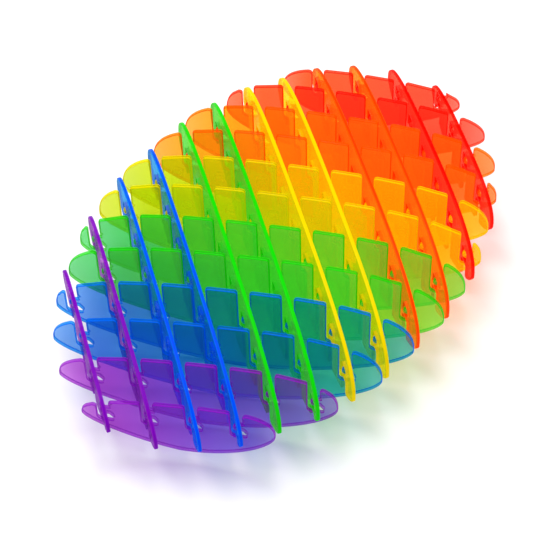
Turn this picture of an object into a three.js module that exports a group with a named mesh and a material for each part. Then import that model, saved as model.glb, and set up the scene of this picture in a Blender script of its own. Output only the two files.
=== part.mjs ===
// A hand-held folding lattice toy: two sets of thin clear plastic plates, hooked together like an egg-box
// divider. The lower plates have slots open at the top, and the upper plates have slots open at the bottom.
// In every lower slot a peg reaches through a hole in the upper plate and keeps the two together.
// Millimetres, +Z up, +X along the lattice's long diagonal. The origin is under its middle, where it rests.
import * as THREE from 'three';

// Driving dimensions
const platesPerSet = 12;
const pitch = 9; // from one plate to the next, measured along the plates they cross
const plateThickness = 0.8;
const latticeAngle = THREE.MathUtils.degToRad(115.5); // between the two sets at rest
const outlineRadius = 40.8; // half length that a plate through the middle would have
const outlineSkew = 0.692; // how far a plate's middle moves along for each millimetre of its offset
const endLean = 0.0375; // how much more of its height a plate keeps on its inner side, per pitch of offset
const endGap = 1.2; // from a plate's end to the middle of a plate that it doesn't cross
const restDepth = 13.8; // from the level of the plate ends down to where the middle plates rest

// Each edge is a curve of this height over the level of the plate ends. A larger power is squarer, and a
// larger fade lowers the outer plates more.
const topEdge = { height: 14.4, power: 2.7, fade: 0.525 };
const bottomEdge = { height: 14.4, power: 1.6, fade: 0.2625 };

// Slots, pegs and holes, with heights over the joint level of their crossing
const slotWidth = 2.5;
const fitGap = 0.36; // above and below the peg in its hole
const footGap = 0.76; // under the upper plate in the foot of the lower plate's slot
const pegHeight = 2.3;
const pegTipPast = 0.65; // how far the peg reaches past the middle of its slot
const stripHeight = 1.2; // what is left of the upper plate between its slot and its hole
const pocketUndercut = 0.8; // how far the space under the peg runs into the tooth
const pocketEndHeight = 1.1;
const outerJointLevel = -2.5; // at the rim of the outline, over the level of the plate ends
const jointRise = 2.6; // how much higher the joints in the middle lie
const toothCorner = 0.7;
const slotFootCorner = 0.8;
const pegCorner = 0.8;
const pocketCorner = 0.3;

const halfSlot = slotWidth / 2;
const stripBottom = footGap;
const holeBottom = stripBottom + stripHeight;
const pegBottom = holeBottom + fitGap;
const pegTop = pegBottom + pegHeight;
const holeTop = pegTop + fitGap;

// How finely the curves are divided
const lobePoints = 5;
const longEdgePoints = 20;
const cornerSegments = 1;

const plateColours = [0x9a2fc4, 0x1673d6, 0x18dc2a, 0xe0ee10, 0xff9a10, 0xff3320];
const platesPerColour = platesPerSet / plateColours.length;

// Distance from the lattice's middle to a plate, measured along the plates that it crosses.
function plateOffset(index) {
  return (index - (platesPerSet - 1) / 2) * pitch;
}

function outlineShare(offset) {
  return 1 - (1 - outlineSkew ** 2) * (offset / outlineRadius) ** 2;
}

// An end that stops just short of a plate that it doesn't cross is moved back to endGap from it.
function clearedEnd(end) {
  const outermost = plateOffset(platesPerSet - 1);
  const nextPlate = plateOffset(Math.ceil(end / pitch + (platesPerSet - 1) / 2));
  return nextPlate > outermost ? end : Math.min(end, nextPlate - endGap);
}

function plateEnds(offset) {
  const halfLength = outlineRadius * Math.sqrt(outlineShare(offset));
  const middle = outlineSkew * offset;
  return { low: -clearedEnd(halfLength - middle), high: clearedEnd(middle + halfLength) };
}

// Height of a plate's edge at a place along it, over the level of its ends.
function edgeHeight(edge, offset, along) {
  const { low, high } = plateEnds(offset);
  const place = Math.min(1, Math.abs(2 * along - low - high) / (high - low));
  const side = Math.sign(2 * along - low - high);
  const curve = (1 - place ** edge.power) ** (1 / edge.power);
  const lean = 1 - endLean * (offset / pitch) * place * side;
  return edge.height * outlineShare(offset) ** edge.fade * curve * lean;
}

function topAt(offset, along) {
  return edgeHeight(topEdge, offset, along);
}

function bottomAt(offset, along) {
  return -Math.min(restDepth, edgeHeight(bottomEdge, offset, along));
}

// The places along a plate where it crosses plates of the other set.
function crossings(offset) {
  const { low, high } = plateEnds(offset);
  const places = Array.from({ length: platesPerSet }, (unused, index) => plateOffset(index));
  return places.filter((place) => place > low && place < high);
}

// The level of the foot of the lower plate's slot, which is the same on both plates that cross.
function jointLevel(offset, place) {
  const reach = (offset ** 2 + place ** 2 - 2 * outlineSkew * offset * place) / outlineRadius ** 2;
  return outerJointLevel + jointRise * Math.sqrt(Math.max(0, 1 - reach));
}

// A corner of an outline, with the length that is cut off each side of it.
function corner(x, y, cut = 0) {
  return { point: new THREE.Vector2(x, y), cut };
}

// Points on an edge from one place to another, closer together near the start, which is a plate's end.
function lobe(edgeAt, offset, from, to) {
  return Array.from({ length: lobePoints }, (unused, index) => {
    const along = from + (to - from) * (index / lobePoints) ** 2;
    return corner(along, edgeAt(offset, along));
  });
}

// The whole of an edge that has no slots, without its two ends.
function longEdge(edgeAt, offset) {
  const { low, high } = plateEnds(offset);
  return Array.from({ length: longEdgePoints - 1 }, (unused, index) => {
    const along = (low + high) / 2 - (high - low) / 2 * Math.cos(Math.PI * (index + 1) / longEdgePoints);
    return corner(along, edgeAt(offset, along));
  });
}

// An edge with slots, from the low end to the high end: a lobe, the slots with the teeth between, a lobe.
function slottedEdge(edgeAt, offset, slot) {
  const { low, high } = plateEnds(offset);
  const places = crossings(offset);
  const firstWall = places[0] - halfSlot;
  const lastWall = places[places.length - 1] + halfSlot;
  const slots = places.flatMap((place) => [
    corner(place - halfSlot, edgeAt(offset, place - halfSlot), toothCorner),
    ...slot(place, jointLevel(offset, place)),
    corner(place + halfSlot, edgeAt(offset, place + halfSlot), toothCorner),
  ]);
  return [
    ...lobe(edgeAt, offset, low, firstWall),
    ...slots,
    ...lobe(edgeAt, offset, high, lastWall).reverse(),
  ];
}

// A lower slot from its plain wall round to the wall with the peg, with the pocket under the peg.
function pegSlot(place, level) {
  const pocketEnd = place + halfSlot + pocketUndercut;
  return [
    corner(place - halfSlot, level, slotFootCorner),
    corner(pocketEnd, level, pocketCorner),
    corner(pocketEnd, level + pocketEndHeight, pocketCorner),
    corner(place + halfSlot, level + pegBottom),
    corner(place - pegTipPast, level + pegBottom, pegCorner),
    corner(place - pegTipPast, level + pegTop, pegCorner),
    corner(place + halfSlot, level + pegTop),
  ];
}

// An upper slot, open at the bottom.
function plainSlot(place, level) {
  return [corner(place - halfSlot, level + stripBottom), corner(place + halfSlot, level + stripBottom)];
}

// Adds a closed run of corners to a path, each corner cut off by its own length.
function drawCorners(path, corners) {
  corners.forEach(({ point, cut }, index) => {
    const before = corners.at(index - 1).point;
    const after = corners[(index + 1) % corners.length].point;
    const entry = towards(point, before, cut);
    if (index === 0) path.moveTo(entry.x, entry.y);
    else path.lineTo(entry.x, entry.y);
    const leave = towards(point, after, cut);
    if (cut > 0) path.quadraticCurveTo(point.x, point.y, leave.x, leave.y);
  });
  path.closePath();
  return path;
}

function towards(point, other, distance) {
  const reach = Math.min(distance, point.distanceTo(other) / 2);
  return point.clone().add(other.clone().sub(point).setLength(reach));
}

function pegHole(place, level) {
  const corners = [
    corner(place - halfSlot, level + holeBottom),
    corner(place + halfSlot, level + holeBottom),
    corner(place + halfSlot, level + holeTop),
    corner(place - halfSlot, level + holeTop),
  ];
  return drawCorners(new THREE.Path(), corners);
}

function lowerOutline(offset) {
  const upperRun = slottedEdge(topAt, offset, pegSlot);
  const lowerRun = longEdge(bottomAt, offset).reverse();
  return drawCorners(new THREE.Shape(), [...upperRun, ...lowerRun]);
}

function upperOutline(offset) {
  const lowerRun = slottedEdge(bottomAt, offset, plainSlot);
  const upperRun = longEdge(topAt, offset).reverse();
  const shape = drawCorners(new THREE.Shape(), [...lowerRun, ...upperRun]);
  shape.holes = crossings(offset).map((place) => pegHole(place, jointLevel(offset, place)));
  return shape;
}

function plateMaterial(index) {
  return new THREE.MeshStandardMaterial({
    color: plateColours[Math.floor(index / platesPerColour)],
    roughness: 0.15,
    metalness: 0,
  });
}

// One plate standing on edge, with its length along X and its thickness centred on Y = 0.
function makePlate(name, outline, index) {
  const geometry = new THREE.ExtrudeGeometry(outline, {
    depth: plateThickness,
    bevelEnabled: false,
    curveSegments: cornerSegments,
  });
  geometry.translate(0, 0, -plateThickness / 2);
  geometry.rotateX(Math.PI / 2);
  const plate = new THREE.Mesh(geometry, plateMaterial(index));
  plate.name = `${name}_${String(index + 1).padStart(2, '0')}`;
  return plate;
}

// One set of parallel plates: turned to run along its own direction, and spread along the other set's.
function makeSet(name, outlineAt, ownTurn, otherTurn) {
  const set = new THREE.Group();
  for (let index = 0; index < platesPerSet; index += 1) {
    const offset = plateOffset(index);
    const plate = makePlate(name, outlineAt(offset), index);
    plate.rotation.z = ownTurn;
    plate.position.set(offset * Math.cos(otherTurn), offset * Math.sin(otherTurn), restDepth);
    set.add(plate);
  }
  return set;
}

const latticeToy = new THREE.Group();
const halfAngle = latticeAngle / 2;
latticeToy.add(makeSet('lower_plate', lowerOutline, -halfAngle, halfAngle));
latticeToy.add(makeSet('upper_plate', upperOutline, halfAngle, -halfAngle));

export default latticeToy;
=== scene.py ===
import math

import bpy
from mathutils import Matrix, Vector
from mathutils.geometry import tessellate_polygon


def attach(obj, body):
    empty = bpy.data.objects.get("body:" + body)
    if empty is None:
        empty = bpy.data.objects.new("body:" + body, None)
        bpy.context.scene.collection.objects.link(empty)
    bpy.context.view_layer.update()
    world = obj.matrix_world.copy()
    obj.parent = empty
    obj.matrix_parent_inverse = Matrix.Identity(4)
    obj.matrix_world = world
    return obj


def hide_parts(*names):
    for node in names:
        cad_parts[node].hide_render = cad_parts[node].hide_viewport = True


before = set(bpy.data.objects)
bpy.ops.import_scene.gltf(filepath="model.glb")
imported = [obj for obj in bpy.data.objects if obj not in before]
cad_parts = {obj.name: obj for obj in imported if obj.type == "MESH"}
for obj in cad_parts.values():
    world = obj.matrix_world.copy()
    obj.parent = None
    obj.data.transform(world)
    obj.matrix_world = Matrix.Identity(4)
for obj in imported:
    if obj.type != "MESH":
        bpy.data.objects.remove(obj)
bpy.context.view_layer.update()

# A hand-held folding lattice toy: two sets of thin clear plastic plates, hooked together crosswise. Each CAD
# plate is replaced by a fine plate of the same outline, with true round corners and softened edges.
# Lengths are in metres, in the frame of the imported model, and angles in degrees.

MM = 0.001

# The lattice, as in the CAD model
PLATES_PER_SET = 12
PITCH = 9 * MM  # from one plate to the next, measured along the plates they cross
PLATE_THICKNESS = 0.8 * MM
LATTICE_ANGLE = 115.5  # between the two sets at rest
OUTLINE_RADIUS = 40.8 * MM  # half length that a plate through the middle would have
OUTLINE_SKEW = 0.692  # how far a plate's middle moves along, as a share of its offset
END_LEAN = 0.0375  # how much more of its height a plate keeps on its inner side, per pitch of offset
END_GAP = 1.2 * MM  # from a plate's end to the middle of a plate that it doesn't cross
REST_DEPTH = 13.8 * MM  # from the level of the plate ends down to where the middle plates rest
TOP_EDGE = {"height": 14.4 * MM, "power": 2.7, "fade": 0.525}
BOTTOM_EDGE = {"height": 14.4 * MM, "power": 1.6, "fade": 0.2625}
SLOT_WIDTH = 2.5 * MM
FIT_GAP = 0.36 * MM
FOOT_GAP = 0.76 * MM
PEG_HEIGHT = 2.3 * MM
PEG_TIP_PAST = 0.65 * MM  # how far the peg reaches past the middle of its slot
STRIP_HEIGHT = 1.2 * MM  # what is left of the upper plate between its slot and its hole
POCKET_UNDERCUT = 0.8 * MM
POCKET_END_HEIGHT = 1.1 * MM
OUTER_JOINT_LEVEL = -2.5 * MM
JOINT_RISE = 2.6 * MM

HALF_SLOT = SLOT_WIDTH / 2
STRIP_BOTTOM = FOOT_GAP
HOLE_BOTTOM = STRIP_BOTTOM + STRIP_HEIGHT
PEG_BOTTOM = HOLE_BOTTOM + FIT_GAP
PEG_TOP = PEG_BOTTOM + PEG_HEIGHT
HOLE_TOP = PEG_TOP + FIT_GAP

# Round corners of the outlines, by radius
TOOTH_ROUND = 0.7 * MM
LOBE_ROUND = 1.1 * MM
SHORT_LOBE_CORNER = 0.7  # how much of a short lobe's length its round corner may take
SLOT_FOOT_ROUND = 1.2 * MM
PEG_ROUND = 1.12 * MM
PEG_ROOT_ROUND = 0.35 * MM
POCKET_ROUND = 0.5 * MM
NOTCH_DEPTH = 0.35 * MM
NOTCH_HEIGHT = 0.75 * MM
NOTCH_ROUND = 0.3 * MM
HOLE_ROUND = 0.4 * MM
ARC_STEP = 15  # degrees of turn for each piece of an arc
FEWEST_ARC_STEPS = 2
SHARP = 1e-9  # metres of side below which a corner isn't rounded
STRAIGHT = 1e-4  # radians of turn below which a point lies on a straight run, and is left out

EDGE_ROUND = 0.18 * MM  # the softened edge between a plate's face and its rim
EDGE_STEPS = 2
LOBE_STEPS = 26
LONG_EDGE_STEPS = 110
PLACE_STEP = 50 * MM  # between the plates' places in the surface patterns, so that no two look the same

FACE, RIM, EDGE = range(3)  # the material slots of a plate
COLOURS = ("purple", "blue", "green", "yellow", "orange", "red")
PLATES_PER_COLOUR = PLATES_PER_SET // len(COLOURS)


# ---- Outlines of the plates ----

def plate_offset(index):
    """Distance from the lattice's middle to a plate, measured along the plates that it crosses."""
    return (index - (PLATES_PER_SET - 1) / 2) * PITCH


def outline_share(offset):
    return 1 - (1 - OUTLINE_SKEW ** 2) * (offset / OUTLINE_RADIUS) ** 2


def cleared_end(end):
    """An end that stops just short of a plate that it doesn't cross is moved back to END_GAP from it."""
    outermost = plate_offset(PLATES_PER_SET - 1)
    next_plate = plate_offset(math.ceil(end / PITCH + (PLATES_PER_SET - 1) / 2))
    return end if next_plate > outermost else min(end, next_plate - END_GAP)


def plate_ends(offset):
    half_length = OUTLINE_RADIUS * math.sqrt(outline_share(offset))
    middle = OUTLINE_SKEW * offset
    return -cleared_end(half_length - middle), cleared_end(middle + half_length)


def edge_height(edge, offset, along):
    """Height of a plate's edge at a place along it, over the level of its ends."""
    low, high = plate_ends(offset)
    from_middle = 2 * along - low - high
    place = min(1, abs(from_middle) / (high - low))
    curve = (1 - place ** edge["power"]) ** (1 / edge["power"])
    lean = 1 - END_LEAN * (offset / PITCH) * math.copysign(place, from_middle)
    return edge["height"] * outline_share(offset) ** edge["fade"] * curve * lean


def top_at(offset, along):
    return edge_height(TOP_EDGE, offset, along)


def bottom_at(offset, along):
    return -min(REST_DEPTH, edge_height(BOTTOM_EDGE, offset, along))


def crossings(offset):
    low, high = plate_ends(offset)
    return [p for p in map(plate_offset, range(PLATES_PER_SET)) if low < p < high]


def joint_level(offset, place):
    """The level of the foot of the lower plate's slot at a crossing."""
    reach = (offset ** 2 + place ** 2 - 2 * OUTLINE_SKEW * offset * place) / OUTLINE_RADIUS ** 2
    return OUTER_JOINT_LEVEL + JOINT_RISE * math.sqrt(max(0, 1 - reach))


def lobe(edge_at, offset, start, end):
    """Points on an edge from a plate's end to where the round corner at its first slot begins."""
    length = end - start
    corner = min(2 * LOBE_ROUND, SHORT_LOBE_CORNER * abs(length))
    reach = length - math.copysign(corner, length)
    steps = [start + reach * (i / LOBE_STEPS) ** 2 for i in range(LOBE_STEPS + 1)]
    return [(along, edge_at(offset, along), 0) for along in steps]


def long_edge(edge_at, offset):
    """The whole of an edge that has no slots, without its two ends."""
    low, high = plate_ends(offset)
    turns = [math.pi * i / LONG_EDGE_STEPS for i in range(1, LONG_EDGE_STEPS)]
    places = [(low + high) / 2 - (high - low) / 2 * math.cos(turn) for turn in turns]
    return [(along, edge_at(offset, along), 0) for along in places]


def slotted_edge(edge_at, offset, slot):
    """An edge with slots, from the low end to the high end, as corners with their radii."""
    low, high = plate_ends(offset)
    places = crossings(offset)
    corners = lobe(edge_at, offset, low, places[0] - HALF_SLOT)
    for place in places:
        before = LOBE_ROUND if place == places[0] else TOOTH_ROUND
        after = LOBE_ROUND if place == places[-1] else TOOTH_ROUND
        corners.append((place - HALF_SLOT, edge_at(offset, place - HALF_SLOT), before))
        corners.extend(slot(place, joint_level(offset, place)))
        corners.append((place + HALF_SLOT, edge_at(offset, place + HALF_SLOT), after))
    return corners + lobe(edge_at, offset, high, places[-1] + HALF_SLOT)[::-1]


def peg_slot(place, level):
    """A lower slot from its plain wall, round its foot and the pocket, to the peg and the notch above it."""
    wall = place + HALF_SLOT
    pocket_end = wall + POCKET_UNDERCUT
    return [
        (place - HALF_SLOT, level, SLOT_FOOT_ROUND),
        (pocket_end, level, POCKET_ROUND),
        (pocket_end, level + POCKET_END_HEIGHT, POCKET_ROUND),
        (wall, level + PEG_BOTTOM, PEG_ROOT_ROUND),
        (place - PEG_TIP_PAST, level + PEG_BOTTOM, PEG_ROUND),
        (place - PEG_TIP_PAST, level + PEG_TOP, PEG_ROUND),
        (wall + NOTCH_DEPTH, level + PEG_TOP, NOTCH_ROUND),
        (wall + NOTCH_DEPTH, level + PEG_TOP + NOTCH_HEIGHT / 2, NOTCH_ROUND),
        (wall, level + PEG_TOP + NOTCH_HEIGHT, NOTCH_ROUND),
    ]


def plain_slot(place, level):
    """An upper slot, open at the bottom."""
    return [
        (place - HALF_SLOT, level + STRIP_BOTTOM, HOLE_ROUND),
        (place + HALF_SLOT, level + STRIP_BOTTOM, HOLE_ROUND),
    ]


def peg_hole(place, level):
    return [
        (place - HALF_SLOT, level + HOLE_BOTTOM, HOLE_ROUND),
        (place - HALF_SLOT, level + HOLE_TOP, HOLE_ROUND),
        (place + HALF_SLOT, level + HOLE_TOP, HOLE_ROUND),
        (place + HALF_SLOT, level + HOLE_BOTTOM, HOLE_ROUND),
    ]


def lower_loops(offset):
    """The outline of a lower plate. The material is on the left of every loop."""
    return [slotted_edge(top_at, offset, peg_slot)[::-1] + long_edge(bottom_at, offset)]


def upper_loops(offset):
    outline = slotted_edge(bottom_at, offset, plain_slot) + long_edge(top_at, offset)[::-1]
    return [outline] + [peg_hole(place, joint_level(offset, place)) for place in crossings(offset)]


# ---- Meshes ----

def rounded(corners):
    """A closed loop of points from corners with radii, each round corner as an arc that meets both sides."""
    points = []
    for index, (x, y, radius) in enumerate(corners):
        here = Vector((x, y))
        before = Vector(corners[index - 1][:2]) - here
        after = Vector(corners[(index + 1) % len(corners)][:2]) - here
        turn = math.pi - before.angle(after)
        if turn < STRAIGHT:
            continue
        cut = min(radius * math.tan(turn / 2), before.length / 2, after.length / 2)
        if cut < SHARP:
            points.append(here)
            continue
        entry = here + before.normalized() * cut
        leave = here + after.normalized() * cut
        towards_centre = (before.normalized() + after.normalized()).normalized()
        centre = here + towards_centre * cut / math.sin(turn / 2)
        steps = max(FEWEST_ARC_STEPS, math.ceil(math.degrees(turn) / ARC_STEP))
        for step in range(steps + 1):
            share = step / steps
            weights = math.sin((1 - share) * turn), math.sin(share * turn)
            spoke = ((entry - centre) * weights[0] + (leave - centre) * weights[1]) / math.sin(turn)
            points.append(centre + spoke)
    return points


def inset(points, distance):
    """The same loop moved to its left by a distance."""
    moved = []
    for index, point in enumerate(points):
        before = (point - points[index - 1]).normalized()
        after = (points[(index + 1) % len(points)] - point).normalized()
        left = Vector((-before.y - after.y, before.x + after.x))
        moved.append(point + left * distance / (1 + before.dot(after)))
    return moved


def rim_profile():
    """(inset, place across) of each ring of a plate's rim, from one face to the other."""
    turns = [math.pi / 2 * step / EDGE_STEPS for step in range(EDGE_STEPS + 1)]
    half = PLATE_THICKNESS / 2
    front = [(EDGE_ROUND * (1 - math.sin(t)), half - EDGE_ROUND * (1 - math.cos(t))) for t in turns]
    return front + [(depth, -across) for depth, across in reversed(front)]


def plate_mesh(name, loops, apart):
    """A plate standing on edge: its length along X, its thickness along Y, its height along Z."""
    vertices, faces, slots = [], [], []
    rings = rim_profile()
    first_ring, last_ring = [], []
    for loop in loops:
        points = rounded(loop)
        start, count = len(vertices), len(points)
        for depth, across in rings:
            vertices.extend((p.x, across, p.y) for p in inset(points, depth))
        for ring in range(len(rings) - 1):
            for index in range(count):
                a = start + ring * count + index
                b = start + ring * count + (index + 1) % count
                faces.append((a, b, b + count, a + count))
                slots.append(RIM if ring == EDGE_STEPS else EDGE)
        first_ring.append([start + index for index in range(count)])
        last_ring.append([start + (len(rings) - 1) * count + index for index in range(count)])
    for side, turned in ((first_ring, True), (last_ring, False)):
        flat = [[Vector((vertices[i][0], vertices[i][2], 0)) for i in ring] for ring in side]
        numbers = [i for ring in side for i in ring]
        for triangle in tessellate_polygon(flat):
            corners = [numbers[i] for i in triangle]
            faces.append(facing(vertices, corners, turned))
            slots.append(FACE)
    mesh = bpy.data.meshes.new(name)
    mesh.from_pydata(vertices, [], faces)
    mesh.polygons.foreach_set("use_smooth", [slot != FACE for slot in slots])
    mesh.polygons.foreach_set("material_index", slots)
    places = mesh.attributes.new("plate_place", "FLOAT_VECTOR", "POINT")
    places.data.foreach_set("vector", [value for x, y, z in vertices for value in (x, y + apart, z)])
    low, high = min(x for x, y, z in vertices), max(x for x, y, z in vertices)
    shares = mesh.attributes.new("plate_share", "FLOAT", "POINT")
    shares.data.foreach_set("value", [(x - low) / (high - low) for x, y, z in vertices])
    mesh.update()
    return mesh


def facing(vertices, corners, to_front):
    """The corners of a cap triangle in the order that makes it face along +Y, or along -Y."""
    a, b, c = (Vector(vertices[i]) for i in corners)
    normal_y = (b - a).cross(c - a).y
    return corners if (normal_y > 0) == to_front else corners[::-1]


# ---- Materials ----

# What one face of each colour of plastic lets through
PLASTIC_TINTS = {
    "purple": (0.75, 0.35, 0.85),
    "blue": (0.15, 0.65, 0.95),
    "green": (0.40, 0.90, 0.30),
    "yellow": (0.95, 0.90, 0.10),
    "orange": (1.00, 0.60, 0.15),
    "red": (1.00, 0.35, 0.25),
}
WHITE = (1, 1, 1)
CLEAR_COLOURS = ("purple", "blue")  # the others are a little milky
CLEAR_HAZE = 0.1
MILKY_HAZE = 0.25

# Painted coloured light: light from the upper plates changes colour along a lower plate, so the lower
# plate's tint leans to the colour before its own at its near end, and to the colour after it at its far end.
# Its end lobes are painted paler, as painted light.
NEAR_PAINTED_LIGHT_LEAN = 0.3
FAR_PAINTED_LIGHT_LEAN = 0.5
LOBE_PAINTED_PALENESS = 0.3
TINT_STOPS = 4  # places along a plate that have a tint: both ends, and both ends of its middle
NEAR_STOP = 1  # the near end of the middle, whose tint the gloss takes

# The colour that the plastic scatters back, which is also the colour of its painted glow, is its tint
# deepened, as if by
# this many faces. At a rim it is deeper: painted light, for light that has run along inside the plate and
# comes out there.
FACE_DEPTH = 2
RIM_DEPTH = {"lower": 4, "upper": 7}
EDGE_DEPTH = 5
# Painted glow: the faces give out light of their own colour, though they are no lamp.
FACE_PAINTED_GLOW = 0.5

# The lower plates' rims look clearer. The upper plates' rims are milkier, so that their deep colour and
# painted glow show as bands of painted light.
RIM_HAZE = {"lower": 0.2, "upper": 0.85}
RIM_PAINTED_GLOW = 0.4

# The softened edge beside a face, which shows as a thin line: painted shade of deep colour with a little
# painted glow, for the line that a real rounded edge of clear plastic shows by bending light.
EDGE_HAZE = 0.7
EDGE_PAINTED_GLOW = 0.3

# The moulded surface. Scales of noise are per metre, and the other numbers are lengths or shares.
LOBE_SHARE = 0.14  # how far a lower plate's lobes reach, as a share of its length
FLOW_SCALE = 160  # slow change of shade, from how the plastic flowed
FLOW_DETAIL = 2
FLOW_SHADE = 0.08
WAVE_SCALE = 420  # unevenness of the polish
WAVE_DETAIL = 2
WAVE_HEIGHT = 0.004 * MM
GRAIN_SCALE = 5000
GRAIN_DETAIL = 1
GRAIN_HEIGHT = 0.001 * MM
SCUFF_SCALE = 700  # patches where handling has dulled the gloss
SCUFF_DETAIL = 4
SCUFF_ROUGHNESS = 0.2
SCUFF_REST = 0.25  # share of SCUFF_ROUGHNESS taken off everywhere, so that unscuffed places are glossier
MARK_RADIUS = 1.1 * MM  # ring that an ejector pin left on each tooth
MARK_WIDTH = 0.12 * MM
MARK_HEIGHT = 0.012 * MM
MARK_LEVEL = 7 * MM
MARK_SHADE = 0.14
GLOSS_IOR = {"face": 1.06, "rim": 1.15, "edge": 1.3}
GLOSS_SHARE = {"face": 0.35, "rim": 0.45, "edge": 0.3}
ROUGHNESS = {"face": 0.1, "rim": 0.25, "edge": 0.2}
GLOSS_TINT = 0.5  # how much of the plastic's own tint is in its gloss


def mixed(first, second, share):
    return tuple(a + (b - a) * share for a, b in zip(first, second))


def add_node(tree, kind, **values):
    node = tree.nodes.new(kind)
    for name, value in values.items():
        if name in node.inputs:
            node.inputs[name].default_value = value
        else:
            setattr(node, name, value)
    return node


def calculate(tree, operation, *values, clamp=False):
    """A Math node on numbers or other nodes' outputs."""
    node = add_node(tree, "ShaderNodeMath", operation=operation, use_clamp=clamp)
    for socket, value in zip(node.inputs, values):
        if isinstance(value, bpy.types.NodeSocket):
            tree.links.new(value, socket)
        else:
            socket.default_value = value
    return node.outputs[0]


def noise(tree, place, scale, detail):
    node = add_node(tree, "ShaderNodeTexNoise", Scale=scale, Detail=detail)
    tree.links.new(place, node.inputs["Vector"])
    return node.outputs["Fac"]


def ejector_mark(tree, place):
    """1 on a thin ring on each tooth, fading to 0 beside it."""
    split = add_node(tree, "ShaderNodeSeparateXYZ")
    tree.links.new(place, split.inputs[0])
    across = calculate(tree, "PINGPONG", split.outputs["X"], PITCH / 2)
    up = calculate(tree, "SUBTRACT", split.outputs["Z"], MARK_LEVEL)
    squares = calculate(tree, "MULTIPLY_ADD", up, up, calculate(tree, "MULTIPLY", across, across))
    off_ring = calculate(tree, "ABSOLUTE", calculate(
        tree, "SUBTRACT", calculate(tree, "SQRT", squares), MARK_RADIUS))
    return calculate(tree, "SUBTRACT", 1, calculate(tree, "DIVIDE", off_ring, MARK_WIDTH), clamp=True)


def surface_relief(tree, place, mark):
    """Waves in the polish, a fine grain and the mark's ring, as one bump with its height in metres."""
    waves = calculate(tree, "MULTIPLY", noise(tree, place, WAVE_SCALE, WAVE_DETAIL), WAVE_HEIGHT)
    fine = noise(tree, place, GRAIN_SCALE, GRAIN_DETAIL)
    grain = calculate(tree, "MULTIPLY_ADD", fine, GRAIN_HEIGHT, waves)
    height = calculate(tree, "MULTIPLY_ADD", mark, MARK_HEIGHT, grain)
    bump = add_node(tree, "ShaderNodeBump", Distance=1)
    tree.links.new(height, bump.inputs["Height"])
    return bump.outputs[0]


def varied_tint(tree, place, mark, tints):
    """The tint, which changes slowly along the plate, where a lower plate's tint carries painted coloured
    light, and a little from place to place.
    """
    along = add_node(tree, "ShaderNodeAttribute", attribute_name="plate_share")
    tint = add_node(tree, "ShaderNodeValToRGB")
    tree.links.new(along.outputs["Fac"], tint.inputs[0])
    tint.color_ramp.elements.new(LOBE_SHARE)
    tint.color_ramp.elements.new(1 - LOBE_SHARE)
    for stop, colour in zip(tint.color_ramp.elements, tints):
        stop.color = (*colour, 1)
    flow = calculate(tree, "MULTIPLY_ADD", noise(tree, place, FLOW_SCALE, FLOW_DETAIL), -FLOW_SHADE, 1)
    shade = calculate(tree, "MULTIPLY_ADD", mark, -MARK_SHADE, flow)
    shaded = add_node(tree, "ShaderNodeVectorMath", operation="SCALE")
    tree.links.new(tint.outputs["Color"], shaded.inputs[0])
    tree.links.new(shade, shaded.inputs["Scale"])
    return shaded.outputs[0]


def mix_shaders(tree, share, first, second):
    node = add_node(tree, "ShaderNodeMixShader")
    if isinstance(share, bpy.types.NodeSocket):
        tree.links.new(share, node.inputs[0])
    else:
        node.inputs[0].default_value = share
    tree.links.new(first, node.inputs[1])
    tree.links.new(second, node.inputs[2])
    return node.outputs[0]


def clear_plastic(name, part, tints, body, haze, painted_glow):
    """Tinted clear plastic: mostly a filter, with a little colour of its own, a painted glow of that colour,
    and a polished surface.
    """
    material = bpy.data.materials.new(name)
    material.use_nodes = True
    tree = material.node_tree
    tree.nodes.clear()
    link = tree.links.new
    place = add_node(tree, "ShaderNodeAttribute", attribute_name="plate_place").outputs["Vector"]
    mark = ejector_mark(tree, place)
    relief = surface_relief(tree, place, mark)
    patches = noise(tree, place, SCUFF_SCALE, SCUFF_DETAIL)
    unscuffed = ROUGHNESS[part] - SCUFF_ROUGHNESS * SCUFF_REST
    scuffs = calculate(tree, "MULTIPLY_ADD", patches, SCUFF_ROUGHNESS, unscuffed)

    clear = add_node(tree, "ShaderNodeBsdfTransparent")
    link(varied_tint(tree, place, mark, tints), clear.inputs["Color"])
    # The plastic's own scattered colour, with a painted glow: its emission stands in for light scattered and
    # piped inside the plates.
    own = add_node(tree, "ShaderNodeBsdfPrincipled")
    own.inputs["Specular IOR Level"].default_value = 0
    own.inputs["Base Color"].default_value = (*body, 1)
    own.inputs["Emission Color"].default_value = (*body, 1)
    own.inputs["Emission Strength"].default_value = painted_glow
    link(scuffs, own.inputs["Roughness"])
    link(relief, own.inputs["Normal"])
    gloss = add_node(tree, "ShaderNodeBsdfGlossy")
    gloss.inputs["Color"].default_value = (*mixed(WHITE, tints[NEAR_STOP], GLOSS_TINT), 1)
    link(scuffs, gloss.inputs["Roughness"])
    link(relief, gloss.inputs["Normal"])
    fresnel = add_node(tree, "ShaderNodeFresnel", IOR=GLOSS_IOR[part])
    link(relief, fresnel.inputs["Normal"])
    polish = calculate(tree, "MULTIPLY", fresnel.outputs[0], GLOSS_SHARE[part])

    inside = mix_shaders(tree, haze, clear.outputs[0], own.outputs[0])
    polished = mix_shaders(tree, polish, inside, gloss.outputs[0])
    output = add_node(tree, "ShaderNodeOutputMaterial")
    link(polished, output.inputs["Surface"])
    return material


def deepened(colour, depth):
    """The tint of as much plastic as a number of faces."""
    return tuple(channel ** depth for channel in PLASTIC_TINTS[colour])


def face_haze(colour):
    return CLEAR_HAZE if colour in CLEAR_COLOURS else MILKY_HAZE


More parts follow.
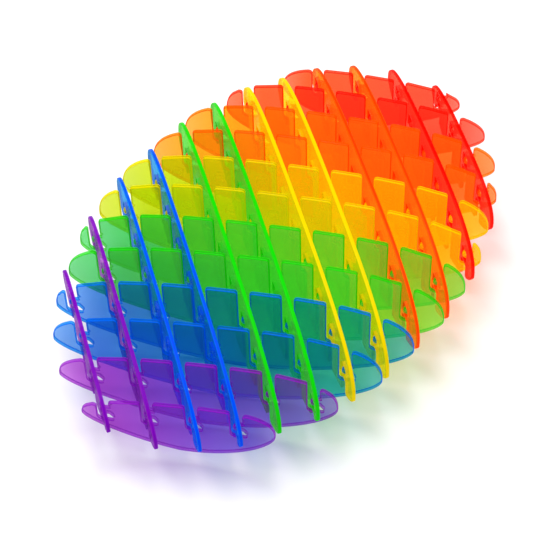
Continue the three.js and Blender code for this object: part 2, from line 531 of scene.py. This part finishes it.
def face_tints(set_name, colour):
    """The tints along a plate: of its near lobe, of both ends of its middle, and of its far lobe. On a lower
    plate they carry painted light: they lean to the neighbouring colours, and the lobes are painted paler.
    """
    tint = PLASTIC_TINTS[colour]
    if set_name == "upper":
        return [tint] * TINT_STOPS
    place = COLOURS.index(colour)
    before = COLOURS[max(place - 1, 0)]
    after = COLOURS[min(place + 1, len(COLOURS) - 1)]
    near = mixed(tint, PLASTIC_TINTS[before], NEAR_PAINTED_LIGHT_LEAN)
    far = mixed(tint, PLASTIC_TINTS[after], FAR_PAINTED_LIGHT_LEAN)
    return [mixed(near, WHITE, LOBE_PAINTED_PALENESS), near, far, mixed(far, WHITE, LOBE_PAINTED_PALENESS)]


def plate_materials(set_name, colour):
    """The materials of a plate's faces, its rim, and the edges between them."""
    name = f"{set_name}_{colour}"
    rim_tints = [PLASTIC_TINTS[colour]] * TINT_STOPS
    face_body = deepened(colour, FACE_DEPTH)
    # The rim's deeper colour is painted light.
    rim_painted_colour = deepened(colour, RIM_DEPTH[set_name])
    # The edge's deep colour is painted shade, with a little painted glow.
    edge_painted_colour = deepened(colour, EDGE_DEPTH)
    tints = face_tints(set_name, colour)
    face = clear_plastic(f"{name}_face", "face", tints, face_body, face_haze(colour), FACE_PAINTED_GLOW)
    rim = clear_plastic(f"{name}_rim", "rim", rim_tints, rim_painted_colour, RIM_HAZE[set_name], RIM_PAINTED_GLOW)
    edge = clear_plastic(f"{name}_edge", "edge", rim_tints, edge_painted_colour, EDGE_HAZE, EDGE_PAINTED_GLOW)
    return face, rim, edge


# ---- The two sets of plates ----

def make_plate(set_name, index, loops, own_turn, other_turn, materials):
    """One plate in its place, riding on the body of the CAD plate that it stands for."""
    node = f"{set_name}_plate_{index + 1:02d}"
    offset = plate_offset(index)
    apart = PLACE_STEP * (index + (PLATES_PER_SET if set_name == "upper" else 0))
    plate = bpy.data.objects.new(f"clear_{node}", plate_mesh(f"clear_{node}", loops(offset), apart))
    for material in materials:
        plate.data.materials.append(material)
    spread = math.radians(other_turn)
    place = Matrix.Translation((offset * math.cos(spread), offset * math.sin(spread), REST_DEPTH))
    plate.matrix_world = place @ Matrix.Rotation(math.radians(own_turn), 4, "Z")
    bpy.context.scene.collection.objects.link(plate)
    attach(plate, node)
    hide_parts(node)


def make_lattice():
    half_angle = LATTICE_ANGLE / 2
    for set_name, loops, turn in (("lower", lower_loops, -half_angle), ("upper", upper_loops, half_angle)):
        materials = {colour: plate_materials(set_name, colour) for colour in COLOURS}
        for index in range(PLATES_PER_SET):
            colour = COLOURS[index // PLATES_PER_COLOUR]
            make_plate(set_name, index, loops, turn, -turn, materials[colour])


# ---- Floor, light and camera ----

FLOOR_SIZE = 4
FLOOR_SHADE = 0.9
FLOOR_ROUGHNESS = 0.8
FLOOR_SPECULAR = 0.1
SKY_STRENGTH = 0.58
LAMP_AZIMUTH = -190
LAMP_ELEVATION = 80
LAMP_DISTANCE = 0.9
LAMP_SIZE = 0.6
LAMP_POWER = 7.2
CAMERA_AZIMUTH = -46.95
CAMERA_ELEVATION = 54.85
CAMERA_ROLL = 1.595
CAMERA_DISTANCE = 0.4541
CAMERA_TARGET = Vector((-5.2 * MM, -3.44 * MM, 13.8 * MM))
CAMERA_LENS = 142.6
CAMERA_SENSOR = 36
CAMERA_CLIP_START = 10 * MM
MOST_CLEAR_LAYERS = 64  # that one ray may pass


def make_floor():
    half = FLOOR_SIZE / 2
    mesh = bpy.data.meshes.new("floor")
    corners = [(-half, -half, 0), (half, -half, 0), (half, half, 0), (-half, half, 0)]
    mesh.from_pydata(corners, [], [(0, 1, 2, 3)])
    floor = bpy.data.objects.new("floor", mesh)
    material = bpy.data.materials.new("pale_floor")
    material.use_nodes = True
    surface = material.node_tree.nodes["Principled BSDF"]
    surface.inputs["Base Color"].default_value = (FLOOR_SHADE, FLOOR_SHADE, FLOOR_SHADE, 1)
    surface.inputs["Roughness"].default_value = FLOOR_ROUGHNESS
    surface.inputs["Specular IOR Level"].default_value = FLOOR_SPECULAR
    mesh.materials.append(material)
    bpy.context.scene.collection.objects.link(floor)


def look_from(azimuth, elevation):
    """The direction from the object to the camera or the lamp."""
    a, e = math.radians(azimuth), math.radians(elevation)
    return Vector((math.sin(a) * math.cos(e), -math.cos(a) * math.cos(e), math.sin(e)))


def make_sky():
    world = bpy.data.worlds.new("studio")
    world.use_nodes = True
    background = world.node_tree.nodes["Background"]
    background.inputs["Color"].default_value = (*WHITE, 1)
    background.inputs["Strength"].default_value = SKY_STRENGTH
    bpy.context.scene.world = world


def make_lamp():
    """One large soft lamp, almost overhead."""
    lamp = bpy.data.lights.new("overhead", "AREA")
    lamp.shape = "DISK"
    lamp.size = LAMP_SIZE
    lamp.energy = LAMP_POWER
    holder = bpy.data.objects.new("overhead", lamp)
    back = look_from(LAMP_AZIMUTH, LAMP_ELEVATION)
    holder.location = back * LAMP_DISTANCE
    holder.rotation_euler = back.to_track_quat("Z", "Y").to_euler()
    bpy.context.scene.collection.objects.link(holder)


def make_camera():
    camera = bpy.data.cameras.new("camera")
    camera.sensor_width = CAMERA_SENSOR
    camera.lens = CAMERA_LENS
    camera.clip_start = CAMERA_CLIP_START
    holder = bpy.data.objects.new("camera", camera)
    back = look_from(CAMERA_AZIMUTH, CAMERA_ELEVATION)
    right = (-back).cross(Vector((0, 0, 1))).normalized()
    down = (-back).cross(right)
    roll = math.radians(CAMERA_ROLL)
    axis_x = right * math.cos(roll) + down * math.sin(roll)
    axis_y = right * math.sin(roll) - down * math.cos(roll)
    turn = Matrix((axis_x, axis_y, back)).transposed().to_4x4()
    holder.matrix_world = Matrix.Translation(CAMERA_TARGET + back * CAMERA_DISTANCE) @ turn
    bpy.context.scene.collection.objects.link(holder)
    bpy.context.scene.camera = holder


make_lattice()
make_floor()
make_sky()
make_lamp()
make_camera()

scene = bpy.context.scene
scene.view_settings.view_transform = "Standard"
scene.cycles.transparent_max_bounces = MOST_CLEAR_LAYERS
